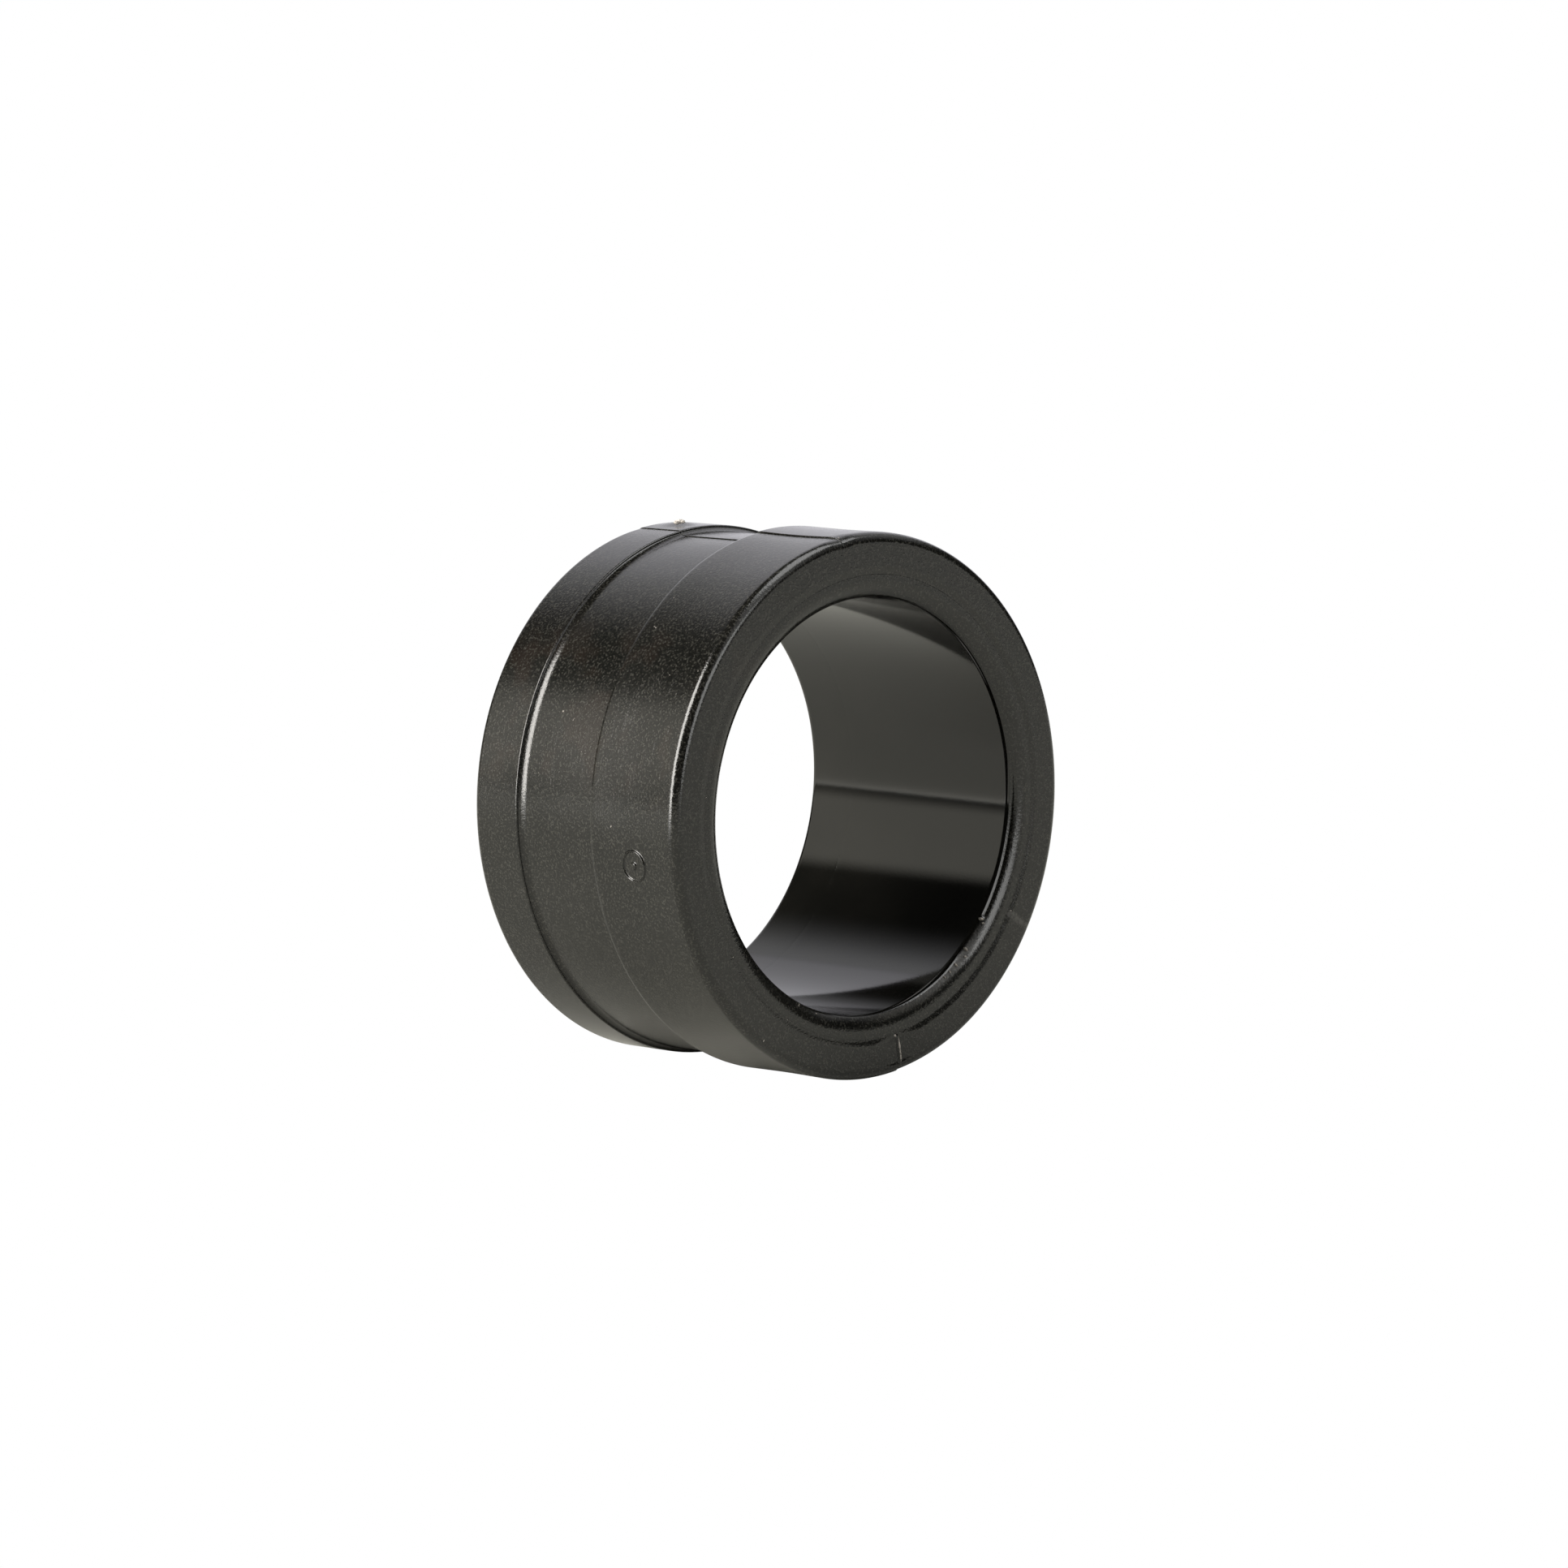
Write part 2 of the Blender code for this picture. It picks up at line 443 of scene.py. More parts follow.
def shell(name, start, end, fine, reliefs, shrink, rounding):
    """One collar shell from angle start to angle end, with its reliefs raised on the outline."""
    outline = collar_outline()
    normals = outline_normals(outline)
    edge_angles = np.degrees(rounding / SEAM_RADIUS) * np.array([0, 0.04, 0.12, 0.25, 0.45, 0.7, 1.0])
    angles = columns(start, end, 1.0, fine)
    inside = angles[(angles > start + edge_angles[-1]) & (angles < end - edge_angles[-1])]
    angles = np.concatenate([start + edge_angles, inside, end - edge_angles[::-1]])
    raised = -rounded_ends(angles, outline, start, end, rounding)
    for relief in reliefs:
        raised = raised + relief(angles, outline)
    radius = outline[:, :1] + normals[:, :1] * raised
    depth = outline[:, 1:] + normals[:, 1:] * raised
    at_seam = (outline[:, :1] < SEAM_RADIUS + SEAM_STEP_WIDTH) & (outline[:, 1:] < RING_RECESS + 0.3)
    lift = (1.0 - recess_share(angles))[None, :] * np.minimum(outline[:, 1:], RING_RECESS)
    depth = np.where(at_seam, depth - lift, depth)
    outer = smooth((outline[:, :1] - SEAM_RADIUS - 0.4) / 1.2)
    radius = radius - shrink(angles[None, :], outline[:, 1:]) * outer
    turned = joint_angles(angles[None, :], depth, start, end)
    return turned_mesh(name, turned, radius, depth, closed=False)


def mouth_share(angles):
    """The mouth's rounding as a share of its full depth: it is slighter at the bottom of the circle."""
    below = between(angles % 360.0, BELOW_START, BELOW_END, 16.0, 14.0)
    return 1.0 - below * (1.0 - MOUTH_SHARE_BELOW)


def shallower(depth, share):
    """Draws the mouth and the ring round it forward where the recess is shallower."""
    lift = RING_RECESS * (1.0 - share)[None, :]
    raised = np.clip((MOUTH_DEPTH - depth) / (MOUTH_DEPTH - RING_RECESS), 0.0, 1.0)
    return depth - lift * raised


def sleeve(name):
    """The bore sleeve: a full turn, with its mouth rounded into the bore."""
    angles = columns(0.0, 360.0, 1.0, [(360.0 + LEDGE_START, 3.0, 0.2)])[:-1]
    plain, ledged = sleeve_outline(False), sleeve_outline(True)
    radius = np.repeat(plain[:, :1], len(angles), axis=1)
    depth = plain[:, 1:] + (ledged - plain)[:, 1:] * ledge_share(angles)[None, :]
    rows = len(mouth_outline(False))
    depth[:rows] = RING_RECESS + (depth[:rows] - RING_RECESS) * mouth_share(angles)[None, :]
    depth = shallower(depth, recess_share(angles))
    return turned_mesh(name, angles[None, :], radius, depth, closed=True)


# ---- Nibs, burrs and dust ------------------------------------------------------------------
NIB_SIDES = 10
NIB_TIERS = 4
NIB_ROUGHNESS = 0.22
NIB_SUNK = 0.25

# Each is (angle, depth or radius, length, width, height, heading). The heading is 0 along the
# circle and 90 along the axis, or along the radius on the end face and in the mouth.
COLLAR_NIBS = (
    (140.75, 8.36, 0.20, 0.13, 0.07, 20),
    (137.2, 6.85, 0.16, 0.05, 0.02, 75),
    (136.9, 7.05, 0.14, 0.05, 0.02, 85),
    (98.4, 0.50, 0.14, 0.08, 0.04, 20),
    (134.1, 8.5, 0.10, 0.08, 0.05, 0),
    (157.7, 12.7, 0.17, 0.12, 0.06, 60),
    (159.2, 11.5, 0.24, 0.08, 0.05, 30),
    (180.8, 6.09, 0.17, 0.08, 0.02, 50),
    (128.75, 7.16, 0.10, 0.08, 0.04, 0),
    (146.5, 0.95, 0.08, 0.05, 0.03, 0),
    (152.0, 2.1, 0.07, 0.05, 0.03, 0),
    (166.0, 10.1, 0.06, 0.05, 0.03, 0),
    (171.5, 13.9, 0.07, 0.05, 0.03, 0),
    (148.0, 3.4, 0.08, 0.04, 0.03, 10),
)
FACE_NIBS = (
    (239.4, 15.80, 0.10, 0.07, 0.038, 0),
    (235.2, 17.98, 0.24, 0.07, 0.013, 90),
    (214.2, 15.87, 0.09, 0.07, 0.033, 0),
    (173.0, 15.73, 0.07, 0.06, 0.04, 0),
    (278.4, 15.93, 0.22, 0.16, 0.052, 30),
    (329.0, 16.05, 0.16, 0.10, 0.03, 40),
    (279.5, 17.0, 2.10, 0.20, 0.088, 90.5),
)
MOUTH_BURRS = (
    (322.6, 14.24, 0.40, 0.20, 0.20, 60),
    (321.8, 14.45, 0.30, 0.12, 0.08, 70),
    (312.4, 14.34, 0.42, 0.20, 0.16, 90),
    (310.6, 14.58, 0.34, 0.14, 0.07, 60),
    (306.6, 14.42, 0.42, 0.14, 0.10, 90),
    (303.6, 14.40, 0.34, 0.10, 0.08, 80),
    (301.2, 14.38, 0.30, 0.10, 0.08, 85),
    (242.7, 14.45, 0.42, 0.08, 0.06, 85),
    (249.9, 14.42, 0.14, 0.08, 0.06, 30),
)
GATE_STUB = (
    (92.6, 17.66, 0.62, 0.50, 0.25, 20),
    (91.7, 17.74, 0.50, 0.42, 0.21, 70),
    (93.5, 17.60, 0.40, 0.36, 0.18, 0),
    (92.4, 17.45, 0.42, 0.34, 0.17, 40),
    (92.9, 17.86, 0.40, 0.34, 0.18, 10),
)


def nib(centre, along, across, out, length, width, height):
    """One small rough dome: its points, and its faces counted from 0."""
    around, tiers = NIB_SIDES, NIB_TIERS
    points, faces = [], []
    for tier in range(tiers):
        lift = math.radians(90.0 * tier / tiers)
        for step in range(around):
            turn = 2 * math.pi * step / around
            rough = 1.0 + NIB_ROUGHNESS * math.sin(3.0 * step + 2.0 * tier + 40.0 * length)
            reach = 0.5 * math.cos(lift) * rough
            raised = height * (math.sin(lift) - NIB_SUNK * (tier == 0))
            lengthwise = along * (length * reach * math.cos(turn))
            sideways = across * (width * reach * math.sin(turn))
            points.append(centre + lengthwise + sideways + out * raised)
    points.append(centre + out * height)
    for tier in range(tiers - 1):
        for step in range(around):
            a, b = tier * around + step, tier * around + (step + 1) % around
            faces.append((a, b, b + around, a + around))
    top = (tiers - 1) * around
    faces += [(top + step, top + (step + 1) % around, tiers * around) for step in range(around)]
    faces.append(tuple(range(around - 1, -1, -1)))
    return points, faces


def nibs_mesh(name, marks, on_face, surface):
    """All the nibs of one kind in one mesh. surface gives the radius, or on the end face the depth."""
    points, faces = [], []
    for angle, place, length, width, height, heading in marks:
        turn, bearing = math.radians(angle), math.radians(heading)
        radial = Vector((math.cos(turn), 0.0, math.sin(turn)))
        round_about = Vector((-math.sin(turn), 0.0, math.cos(turn)))
        axial = Vector((0.0, 1.0, 0.0))
        if on_face:
            centre = radial * place + axial * (FRONT + surface(angle, place))
            other, out = radial, -axial
        else:
            centre = radial * surface(angle, place) + axial * (FRONT + place)
            other, out = axial, radial
        along = round_about * math.cos(bearing) + other * math.sin(bearing)
        across = other * math.cos(bearing) - round_about * math.sin(bearing)
        new_points, new_faces = nib(centre, along, across, out, length, width, height)
        faces += [tuple(index + len(points) for index in face) for face in new_faces]
        points += [tuple(point * MM) for point in new_points]
    mesh = bpy.data.meshes.new(name)
    mesh.from_pydata(points, [], faces)
    mesh.validate()
    mesh.update()
    return mesh


def collar_surface(angle, depth):
    """The collar's radius at a depth, away from the step and the knee."""
    return float(band_radius(depth)) if depth < BAND_END else WAIST_RADIUS


def mouth_surface(angle, radius):
    """The depth of the bore mouth at a radius."""
    outline = mouth_outline(False)
    depth = float(np.interp(radius, outline[:, 0], outline[:, 1]))
    return RING_RECESS + (depth - RING_RECESS) * float(mouth_share(angle))


def gate_surface(angle, depth):
    """The top of the mound at the gate, a little sunk so that the torn stub grows out of it."""
    return FLANGE_RADIUS + GATE_MOUND - GATE_STUB_SUNK


def face_surface(angle, radius):
    """The depth of the end face: it eases back at the seam, at the rim and in the dip round the rib."""
    eased = float(1.0 - smooth((radius - SEAM_RADIUS) / SEAM_STEP_WIDTH))
    step = RING_RECESS * float(recess_share(angle)) * eased
    over_rim = max(radius - BAND_RADIUS + FRONT_ROUNDING, 0.0)
    rim = FRONT_ROUNDING - math.sqrt(FRONT_ROUNDING ** 2 - over_rim ** 2)
    return step + rim + float(rib_dip(angle, radius))


# ---- Materials ---------------------------------------------------------------------------
class Nodes:
    """Short calls for building a node tree."""

    # The places of the colour sockets on a Mix node.
    MIX_FIRST = 6
    MIX_SECOND = 7
    MIX_RESULT = 2

    def __init__(self, tree):
        self.tree = tree
        self.tree.nodes.clear()

    def add(self, kind, **values):
        node = self.tree.nodes.new(kind)
        for name, value in values.items():
            setattr(node, name, value)
        return node

    def link(self, source, socket):
        self.tree.links.new(source, socket)

    def plug(self, value, socket):
        if hasattr(value, "is_output"):
            self.link(value, socket)
        else:
            socket.default_value = value

    def math(self, operation, *values):
        node = self.add("ShaderNodeMath", operation=operation)
        for value, socket in zip(values, node.inputs):
            self.plug(value, socket)
        return node.outputs[0]

    def vector(self, operation, *values):
        node = self.add("ShaderNodeVectorMath", operation=operation)
        for value, socket in zip(values, node.inputs):
            self.plug(value, socket)
        return node.outputs["Value" if operation in ("LENGTH", "DOT_PRODUCT", "DISTANCE") else "Vector"]

    def combine(self, x, y, z):
        node = self.add("ShaderNodeCombineXYZ")
        for value, socket in zip((x, y, z), node.inputs):
            self.plug(value, socket)
        return node.outputs[0]

    def ramp(self, value, low, high, out_low=0.0, out_high=1.0, kind="SMOOTHSTEP"):
        node = self.add("ShaderNodeMapRange", interpolation_type=kind)
        for item, socket in zip((value, low, high, out_low, out_high), node.inputs):
            self.plug(item, socket)
        return node.outputs[0]

    def noise(self, vector, scale, detail=2.0, roughness=0.5):
        node = self.add("ShaderNodeTexNoise")
        self.plug(vector, node.inputs["Vector"])
        node.inputs["Scale"].default_value = scale
        node.inputs["Detail"].default_value = detail
        node.inputs["Roughness"].default_value = roughness
        return node.outputs["Fac"]

    def mix(self, share, first, second):
        node = self.add("ShaderNodeMix", data_type="RGBA")
        self.plug(share, node.inputs["Factor"])
        self.plug(first, node.inputs[self.MIX_FIRST])
        self.plug(second, node.inputs[self.MIX_SECOND])
        return node.outputs[self.MIX_RESULT]


# Roughness, the depth of the grain in metres, and noise scales in cycles to the metre.
MATT_ROUGHNESS = (0.15, 0.20)
BORE_ROUGHNESS = 0.085
GRAIN_DEPTH = 0.000012
SCUFF_DEPTH = 0.00003
PLASTIC_IOR = 1.5
FINE_GRAIN = 6600.0
COARSE_GRAIN = 4200.0
TURNING_MARKS = 9500.0
TURNING_MARKS_ALONG = 45.0
CLOUDS = 160.0
PATCHES = 420.0
WARM_SHEEN_PATCHES = 330.0
SCRAPES = 2200.0
SCUFFS = 6000.0

# Where the key light's highlight falls on the collar, in which paler streaks and a warm brown sheen are
# painted; where the end face is smeared and where the bore's edge is scraped.
HIGHLIGHT_BAND_START = (132.0, 146.0)
HIGHLIGHT_BAND_END = (168.0, 180.0)
SMEAR_ANGLE = -31.8
SCRAPED_ANGLE = -66.0

BLACK_DARK = (0.0034, 0.0034, 0.0028, 1)
BLACK_PALE = (0.0052, 0.0050, 0.0042, 1)
# The brown is a painted warm sheen and the streak grey a painted highlight, both used only in the key
# light's highlight band.
WARM_SHEEN_BROWN = (0.022, 0.013, 0.009, 1)
GRAIN_GREY = (0.036, 0.035, 0.030, 1)
GLINT_STREAK_GREY = (0.05, 0.048, 0.044, 1)
SCRAPED_GREY = (0.11, 0.105, 0.097, 1)
SCUFF_DARK = (0.10, 0.09, 0.08, 1)
SCUFF_PALE = (0.34, 0.31, 0.28, 1)
STUB_DARK = (0.30, 0.27, 0.24, 1)
STUB_PALE = (0.62, 0.58, 0.53, 1)


def near_angle(n, angle, centre, inner, outer):
    """1 within inner degrees of centre, fading to 0 at outer degrees. Angles run from -180 to 180."""
    away = n.math("ABSOLUTE", n.math("SUBTRACT", angle, math.radians(centre)))
    return n.ramp(away, math.radians(inner), math.radians(outer), 1.0, 0.0)


def handling_marks(n, radius, angle, y, matt):
    """How much paler the plastic is: a smear on the end face, and the scraped part of the bore's edge."""
    place = n.add("ShaderNodeTexCoord").outputs["Object"]
    cloud = n.ramp(n.noise(place, SCRAPES, 3.0, 0.6), 0.25, 0.65)
    in_front = n.ramp(y, (FRONT + 0.2) * MM, (FRONT + 0.4) * MM, 1.0, 0.0)
    outwards = n.ramp(radius, 15.7 * MM, 16.0 * MM)
    smeared = near_angle(n, angle, SMEAR_ANGLE, 0.2, 1.3)
    smear = n.math("MULTIPLY", smeared, n.math("MULTIPLY", outwards, in_front))
    inwards = n.ramp(radius, 14.5 * MM, 14.9 * MM, 1.0, 0.0)
    by_edge = near_angle(n, angle, SCRAPED_ANGLE, 14.0, 30.0)
    scraped = n.math("MULTIPLY", by_edge, n.math("MULTIPLY", inwards, matt))
    smear = n.math("MULTIPLY", n.math("MULTIPLY", smear, cloud), 0.45)
    scraped = n.math("MULTIPLY", n.math("MULTIPLY", scraped, n.math("ADD", cloud, 0.6)), 0.18)
    return n.math("ADD", smear, scraped)


def moulded_plastic(name, seed):
    """Black moulded plastic: matt and grained, with faint turning marks, and polished in the bore. Paler
    streaks and a brown tint are painted in the band where the key light's highlight falls.
    """
    material = bpy.data.materials.new(name)
    material.use_nodes = True
    n = Nodes(material.node_tree)
    place = n.add("ShaderNodeTexCoord").outputs["Object"]
    split = n.add("ShaderNodeSeparateXYZ")
    n.link(place, split.inputs[0])
    x, y, z = split.outputs
    radius = n.vector("LENGTH", n.combine(x, 0.0, z))
    angle = n.math("ARCTAN2", z, x)
    matt = n.ramp(radius, (BORE_RADIUS + 0.02) * MM, (BORE_RADIUS + 0.12) * MM)

    turning = n.combine(
        n.math("MULTIPLY", x, TURNING_MARKS_ALONG),
        n.math("MULTIPLY", z, TURNING_MARKS_ALONG),
        n.math("MULTIPLY", n.math("ADD", y, radius), TURNING_MARKS),
    )
    streaks = n.noise(n.vector("ADD", turning, (seed, 0.0, seed)), 1.0, 3.0, 0.6)
    fine_grain = n.noise(place, FINE_GRAIN, 2.0, 0.55)
    coarse_grain = n.noise(place, COARSE_GRAIN, 2.0, 0.5)
    cloud = n.noise(place, CLOUDS, 3.0, 0.55)
    patches = n.ramp(n.noise(n.vector("ADD", place, (seed, seed, 0.0)), PATCHES, 3.0), 0.35, 0.75)
    # The band of angles where the key light's highlight falls: the painted highlight streaks and the
    # painted warm sheen go only there.
    upper = n.ramp(angle, *[math.radians(edge) for edge in HIGHLIGHT_BAND_START])
    lower = n.ramp(angle, *[math.radians(edge) for edge in HIGHLIGHT_BAND_END], 1.0, 0.0)
    highlight_band = n.math("MULTIPLY", upper, lower)
    highlight_patches = n.math("MULTIPLY", highlight_band, patches)
    scratches_and_glints = n.math("MULTIPLY", n.ramp(streaks, 0.55, 0.72), highlight_patches)
    specks = n.math("MULTIPLY", n.ramp(fine_grain, 0.49, 0.68), matt)

    grain = n.math("ADD", fine_grain, n.math("MULTIPLY", coarse_grain, 0.5))
    grained_share = n.math("MAXIMUM", matt, 0.08)
    height = n.math("MULTIPLY", n.math("ADD", grain, n.math("MULTIPLY", streaks, 0.25)), grained_share)
    height = n.math("ADD", height, n.math("MULTIPLY", scratches_and_glints, 0.2))
    normal = n.add("ShaderNodeBump")
    normal.inputs["Strength"].default_value = 1.0
    normal.inputs["Distance"].default_value = GRAIN_DEPTH
    n.link(height, normal.inputs["Height"])

    matt_roughness = n.ramp(cloud, 0.3, 0.7, *MATT_ROUGHNESS, "LINEAR")
    roughness = n.add("ShaderNodeMix", data_type="FLOAT")
    n.plug(matt, roughness.inputs["Factor"])
    roughness.inputs["A"].default_value = BORE_ROUGHNESS
    n.link(matt_roughness, roughness.inputs["B"])

    black = n.mix(n.ramp(cloud, 0.35, 0.7), BLACK_DARK, BLACK_PALE)
    # Painted warm sheen: a brown tint only in the highlight band, standing in for the key light's warm
    # reflection.
    warm_sheen = n.math("MULTIPLY", highlight_band, n.ramp(n.noise(place, WARM_SHEEN_PATCHES, 2.0), 0.5, 0.68))
    colour = n.mix(n.math("MULTIPLY", warm_sheen, 0.25), black, WARM_SHEEN_BROWN)
    colour = n.mix(n.math("MULTIPLY", specks, 0.7), colour, GRAIN_GREY)
    # Painted highlight: paler grey streaks only in the highlight band; their bump is real.
    colour = n.mix(n.math("MULTIPLY", scratches_and_glints, 0.14), colour, GLINT_STREAK_GREY)
    colour = n.mix(handling_marks(n, radius, angle, y, matt), colour, SCRAPED_GREY)
    shader = n.add("ShaderNodeBsdfPrincipled")
    n.link(colour, shader.inputs["Base Color"])
    n.link(roughness.outputs["Result"], shader.inputs["Roughness"])
    n.link(normal.outputs["Normal"], shader.inputs["Normal"])
    shader.inputs["IOR"].default_value = PLASTIC_IOR
    output = n.add("ShaderNodeOutputMaterial")
    n.link(shader.outputs["BSDF"], output.inputs["Surface"])
    return material


def scuffed_plastic(name, dark, pale):
    """The same plastic where it was torn or rubbed: paler, rough and uneven."""
    material = bpy.data.materials.new(name)
    material.use_nodes = True
    n = Nodes(material.node_tree)
    place = n.add("ShaderNodeTexCoord").outputs["Object"]
    blotches = n.noise(place, SCUFFS, 3.0, 0.6)
    normal = n.add("ShaderNodeBump")
    normal.inputs["Strength"].default_value = 1.0
    normal.inputs["Distance"].default_value = SCUFF_DEPTH
    n.link(blotches, normal.inputs["Height"])
    shader = n.add("ShaderNodeBsdfPrincipled")
    colour = n.mix(n.ramp(blotches, 0.35, 0.65), dark, pale)
    n.link(colour, shader.inputs["Base Color"])
    n.link(n.ramp(blotches, 0.3, 0.7, 0.42, 0.6, "LINEAR"), shader.inputs["Roughness"])
    n.link(normal.outputs["Normal"], shader.inputs["Normal"])
    shader.inputs["IOR"].default_value = PLASTIC_IOR
    output = n.add("ShaderNodeOutputMaterial")
    n.link(shader.outputs["BSDF"], output.inputs["Surface"])
    return material


# ---- Pieces ------------------------------------------------------------------------------
def piece(name, mesh, material, slot, *nodes):
    """Puts a finished mesh in the scene: it rides on the one body and stands for its CAD nodes."""
    obj = bpy.data.objects.new(name, mesh)
    bpy.context.scene.collection.objects.link(obj)
    mesh.materials.append(material)
    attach(obj, "root")
    if nodes:
        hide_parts(*nodes)
    return obj


def build_shells(plastic):
    """The two collar shells, with finer columns at the marks and at the joints."""
    upper_joint, lower_joint = PARTING_ANGLE, PARTING_ANGLE + 180.0
    left_fine = [(MARK_ANGLE, 4.4, 0.1), (upper_joint, 2.0, 0.25), (lower_joint, 2.0, 0.25)]
    right_fine = [(lower_joint, 2.5, 0.06), (GATE_ANGLE + 360.0, 4.0, 0.14)]
    left_reliefs = [mark_relief, rib_relief]
    right_reliefs = [gate_relief, rib_relief]
    left = shell("shell_left_skin", upper_joint, lower_joint, left_fine, left_reliefs,
                 left_drop, JOINT_EDGE_LEFT)
    right = shell("shell_right_skin", lower_joint, upper_joint + 360.0, right_fine, right_reliefs,
                  mismatch, JOINT_EDGE_RIGHT)
    piece("shell_left_skin", left, plastic, "collar_plastic", "collar_shell_left")
    piece("shell_right_skin", right, plastic, "collar_plastic", "collar_shell_right")


def build_nibs():
    """The burrs and the torn gate stub, one piece for each kind."""
    torn = scuffed_plastic("scuffed_black", SCUFF_DARK, SCUFF_PALE)
    stub = scuffed_plastic("torn_stub", STUB_DARK, STUB_PALE)
    kinds = (
        ("collar_nibs", COLLAR_NIBS, False, collar_surface, torn, "collar_plastic"),
        ("gate_stub", GATE_STUB, False, gate_surface, stub, "collar_plastic"),
        ("end_face_nibs", FACE_NIBS, True, face_surface, torn, "collar_plastic"),
        ("mouth_burrs", MOUTH_BURRS, True, mouth_surface, torn, "sleeve_plastic"),
    )
    for name, marks, on_face, surface, material, slot in kinds:
        piece(name, nibs_mesh(name, marks, on_face, surface), material, slot)


def build_pieces():
    """Every piece of the part, with its material."""
    build_shells(moulded_plastic("collar_black", 3.0))
    bore = moulded_plastic("sleeve_black", 11.0)
    piece("sleeve_skin", sleeve("sleeve_skin"), bore, "sleeve_plastic", "bore_sleeve")
    build_nibs()


# ---- Stage, lights and camera ------------------------------------------------------------
# Angles in degrees, distances in metres: right and down are how far the front face's centre is
# from the middle of the view.
VIEW_AZIMUTH = -45.11
VIEW_ELEVATION = 6.34
VIEW_DISTANCE = 0.48603
VIEW_RIGHT = 0.005916
VIEW_DOWN = 0.001579
LENS = 165.83
SENSOR = 36.0

FLOOR_HALF = 3.0
FLOOR_GAP = 0.00002
FLOOR_COLOUR = (0.515, 0.515, 0.470, 1)

# The floor's glow grows from nothing at the first distance to its full strength at the second.
# A pool of light on the key's side is also painted into the floor's glow.
FAR_FLOOR = (0.15, 0.9, 0.0, 0.42)
PAINTED_POOL_AZIMUTH = -110.0
PAINTED_POOL_STRENGTH = 3.0
WHITE = (1, 1, 1, 1)
ROOM_DARK = (0.018, 0.018, 0.018)

# Each is (name, azimuth, elevation, width, height, distance, radiance, colour): degrees as the
# part sees them, and metres.
SOFTBOXES = (
    ("key_left", -109.5, 23, 29, 54, 1.4, 16.0, (1.0, 0.97, 0.92)),
    ("top_right", 45, 66, 36, 34, 1.4, 4.2, (1.0, 1.0, 1.0)),
    ("front_fill", 8, 13, 26, 24, 1.4, 4.0, (1.0, 1.0, 0.98)),
)

# Each is (azimuth, elevation, width, height, softness of the sides, softness of the top and
# bottom, strength, colour), in degrees as the part sees them.
WALL_PATCHES = (
    (134, 20, 46, 62, 8, 8, 0.98, (1.0, 0.99, 1.05)),
    (150, 34, 42, 38, 26, 16, 0.8, (1.0, 1.0, 1.03)),
    (104, 42, 62, 24, 50, 12, 0.7, (1.0, 1.0, 1.0)),
    (-140, 15.8, 26, 27, 6, 6, 1.0, (1.03, 1.0, 0.88)),
    (14, 40, 34, 44, 20, 20, 0.95, (1.0, 1.0, 0.98)),
)


def direction(azimuth, elevation):
    """The unit vector towards a compass azimuth, 0 in front of the object, and an elevation."""
    a, e = math.radians(azimuth), math.radians(elevation)
    return Vector((math.sin(a) * math.cos(e), -math.cos(a) * math.cos(e), math.sin(e)))


def add_camera():
    """The camera looks at the part from the front left and a little above."""
    back = direction(VIEW_AZIMUTH, VIEW_ELEVATION)
    a = math.radians(VIEW_AZIMUTH)
    right = Vector((math.cos(a), math.sin(a), 0.0))
    up = back.cross(right)
    data = bpy.data.cameras.new("camera")
    data.sensor_width = SENSOR
    data.lens = LENS
    data.clip_start = 0.01
    camera = bpy.data.objects.new("camera", data)
    bpy.context.scene.collection.objects.link(camera)
    face_centre = Vector((0.0, FRONT * MM, 0.0))
    camera.location = face_centre - VIEW_RIGHT * right + VIEW_DOWN * up + VIEW_DISTANCE * back
    camera.rotation_euler = back.to_track_quat("Z", "Y").to_euler()
    bpy.context.scene.camera = camera


def add_softbox(name, azimuth, elevation, width, height, distance, radiance, colour):
    """A softbox that faces the part. Width and height are the degrees it spans as the part sees it."""
    across = 2 * distance * math.tan(math.radians(width / 2))
    along = 2 * distance * math.tan(math.radians(height / 2))
    data = bpy.data.lights.new(name, "AREA")
    data.shape = "RECTANGLE"
    data.size = across
    data.size_y = along
    data.energy = radiance * math.pi * across * along
    data.color = colour
    light = bpy.data.objects.new(name, data)
    bpy.context.scene.collection.objects.link(light)
    towards = direction(azimuth, elevation)
    light.location = towards * distance
    light.rotation_euler = towards.to_track_quat("Z", "Y").to_euler()


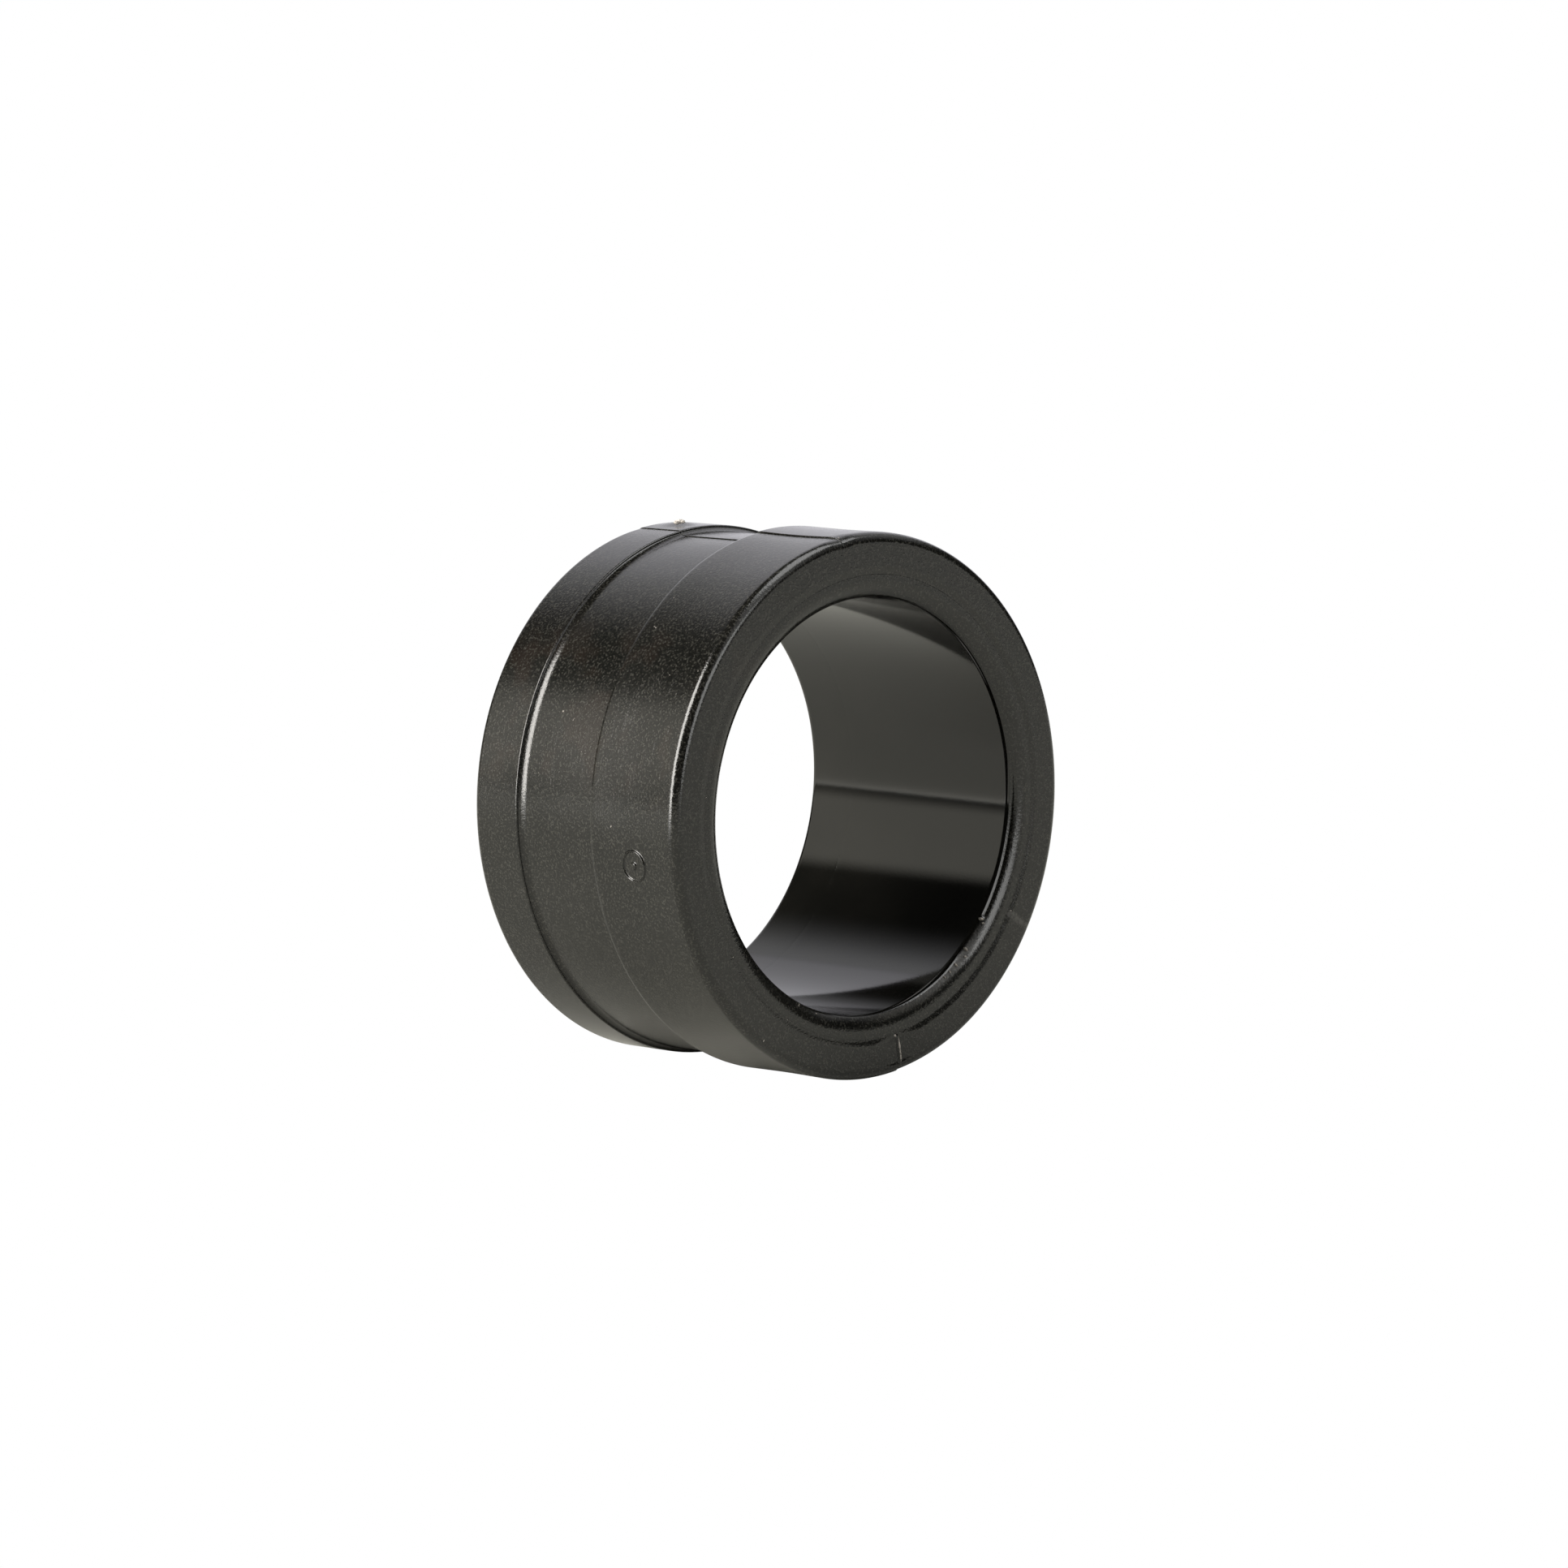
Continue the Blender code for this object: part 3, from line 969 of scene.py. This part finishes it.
def add_floor():
    """A plain white floor that fills the view, brightens with distance and glows in a painted pool of light
    on the key's side. The camera sees it blown out.
    """
    floor_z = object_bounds()[0][2] - FLOOR_GAP
    ways = ((-1, -1), (1, -1), (1, 1), (-1, 1))
    corners = [(FLOOR_HALF * x, FLOOR_HALF * y, floor_z) for x, y in ways]
    mesh = bpy.data.meshes.new("floor")
    mesh.from_pydata(corners, [], [(0, 1, 2, 3)])
    material = bpy.data.materials.new("floor_white")
    material.use_nodes = True
    n = Nodes(material.node_tree)
    diffuse = n.add("ShaderNodeBsdfDiffuse")
    diffuse.inputs["Color"].default_value = FLOOR_COLOUR
    glow = n.add("ShaderNodeEmission")
    glow.inputs["Color"].default_value = WHITE
    glow.inputs["Strength"].default_value = 1.0
    far_glow = n.add("ShaderNodeEmission")
    place = n.add("ShaderNodeTexCoord").outputs["Object"]
    away = n.vector("LENGTH", place)
    painted_pool_side = tuple(direction(PAINTED_POOL_AZIMUTH, 0.0))
    towards_key = n.vector("DOT_PRODUCT", n.vector("NORMALIZE", place), painted_pool_side)
    # Painted pool of light: the floor glows brighter in a patch towards the key.
    painted_pool = n.math("MULTIPLY", n.ramp(towards_key, 0.94, 0.98), n.ramp(away, 0.12, 0.22))
    strength = n.math("ADD", n.ramp(away, *FAR_FLOOR), n.math("MULTIPLY", painted_pool, PAINTED_POOL_STRENGTH))
    n.link(strength, far_glow.inputs["Strength"])
    lit = n.add("ShaderNodeAddShader")
    n.link(diffuse.outputs[0], lit.inputs[0])
    n.link(far_glow.outputs[0], lit.inputs[1])
    seen = n.add("ShaderNodeMixShader")
    n.link(n.add("ShaderNodeLightPath").outputs["Is Camera Ray"], seen.inputs[0])
    n.link(lit.outputs[0], seen.inputs[1])
    n.link(glow.outputs[0], seen.inputs[2])
    output = n.add("ShaderNodeOutputMaterial")
    n.link(seen.outputs[0], output.inputs["Surface"])
    mesh.materials.append(material)
    floor = bpy.data.objects.new("floor", mesh)
    bpy.context.scene.collection.objects.link(floor)


def wall_patch(n, look, azimuth, elevation, width, height, soft_sides, soft_top, strength, colour):
    """A soft-edged rectangle of light in the surroundings, its size in degrees as the part sees it."""
    centre = direction(azimuth, elevation)
    a = math.radians(azimuth)
    right = Vector((math.cos(a), math.sin(a), 0.0))
    up = centre.cross(right)
    ahead = n.math("MAXIMUM", n.vector("DOT_PRODUCT", look, tuple(centre)), 0.001)
    edges = []
    for side, span, soft in ((right, width, soft_sides), (up, height, soft_top)):
        offset = n.math("ABSOLUTE", n.math("DIVIDE", n.vector("DOT_PRODUCT", look, tuple(side)), ahead))
        inner = math.tan(math.radians(max(span / 2 - soft / 2, 0.1)))
        outer = math.tan(math.radians(min(span / 2 + soft / 2, 89.0)))
        edges.append(n.ramp(offset, inner, outer, 1.0, 0.0))
    level = n.math("MULTIPLY", n.math("MULTIPLY", edges[0], edges[1]), strength)
    scaled = n.add("ShaderNodeVectorMath", operation="SCALE")
    scaled.inputs[0].default_value = colour
    n.link(level, scaled.inputs["Scale"])
    return scaled.outputs[0]


def add_world(patches):
    """The room: dim all round, with the white walls that the part reflects."""
    world = bpy.data.worlds.new("studio")
    world.use_nodes = True
    bpy.context.scene.world = world
    n = Nodes(world.node_tree)
    look = n.add("ShaderNodeTexCoord").outputs["Generated"]
    total = None
    for patch in patches:
        shade = wall_patch(n, look, *patch)
        total = shade if total is None else n.vector("MAXIMUM", total, shade)
    total = n.vector("ADD", total, ROOM_DARK)
    background = n.add("ShaderNodeBackground")
    n.link(total, background.inputs["Color"])
    seen = n.add("ShaderNodeBackground")
    seen.inputs["Color"].default_value = WHITE
    mix = n.add("ShaderNodeMixShader")
    n.link(n.add("ShaderNodeLightPath").outputs["Is Camera Ray"], mix.inputs[0])
    n.link(background.outputs[0], mix.inputs[1])
    n.link(seen.outputs[0], mix.inputs[2])
    output = n.add("ShaderNodeOutputWorld")
    n.link(mix.outputs[0], output.inputs["Surface"])


def build_studio():
    """The floor, the lights and the white walls round the part."""
    add_floor()
    for softbox in SOFTBOXES:
        add_softbox(*softbox)
    add_world(WALL_PATCHES)
    bpy.context.scene.view_settings.view_transform = "Standard"


build_pieces()
build_studio()
add_camera()
